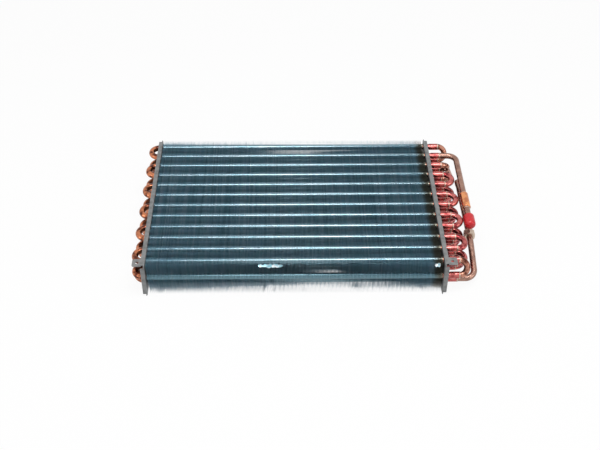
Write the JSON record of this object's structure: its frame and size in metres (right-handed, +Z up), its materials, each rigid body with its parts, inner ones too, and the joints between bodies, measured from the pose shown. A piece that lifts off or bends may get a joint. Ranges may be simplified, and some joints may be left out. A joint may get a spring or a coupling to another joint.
{
  "type": "evaporator coil",
  "caption": "Finned copper-tube evaporator coil: staggered tube rows through blue-coated fins between two folded end plates, with a capped outlet pipe and an inlet line with a nut.",
  "frame": {"origin": "midway between the two mounting-ear holes, on the ears' top face", "axes": "+X along the tubes towards the pipe end, +Y from the front edge to the back, +Z up, out of the top fin face"},
  "size_m": [0.5253, 0.3096, 0.0595],
  "materials": {
    "coated_fin": "blue water-shedding coating on thin fin stock",
    "zinc_sheet": "zinc-coated sheet, dull",
    "copper_tube": "bare copper, reddened by brazing heat",
    "brown_copper": "bare copper pipe, dulled brown",
    "brass_nut": "turned brass",
    "red_cap": "soft red plastic"
  },
  "bodies": {
    "root": {"end_plate_left": "zinc_sheet", "end_plate_right": "zinc_sheet", "fin_pack": "coated_fin", "hairpin_bottom_1": "copper_tube", "hairpin_bottom_2": "copper_tube", "hairpin_bottom_3": "copper_tube", "hairpin_bottom_4": "copper_tube", "hairpin_bottom_5": "copper_tube", "hairpin_bottom_6": "copper_tube", "hairpin_middle_1": "copper_tube", "hairpin_middle_2": "copper_tube", "hairpin_middle_3": "copper_tube", "hairpin_middle_4": "copper_tube", "hairpin_middle_5": "copper_tube", "hairpin_middle_6": "copper_tube", "hairpin_top_1": "copper_tube", "hairpin_top_2": "copper_tube", "hairpin_top_3": "copper_tube", "hairpin_top_4": "copper_tube", "hairpin_top_5": "copper_tube", "hairpin_top_6": "copper_tube", "inlet_elbow": "brown_copper", "inlet_feed_tube": "brown_copper", "inlet_flare_nut": "brass_nut", "jumper_bend": "copper_tube", "outlet_cap": "red_cap", "outlet_coupling": "copper_tube", "outlet_pipe": "brown_copper", "outlet_stub": "brown_copper", "return_bends_bottom": "copper_tube", "return_bends_middle": "copper_tube", "return_bends_top": "copper_tube", "row_bend_back": "copper_tube", "row_bend_front": "copper_tube", "row_bend_third": "copper_tube"}
  },
  "joints": []
}
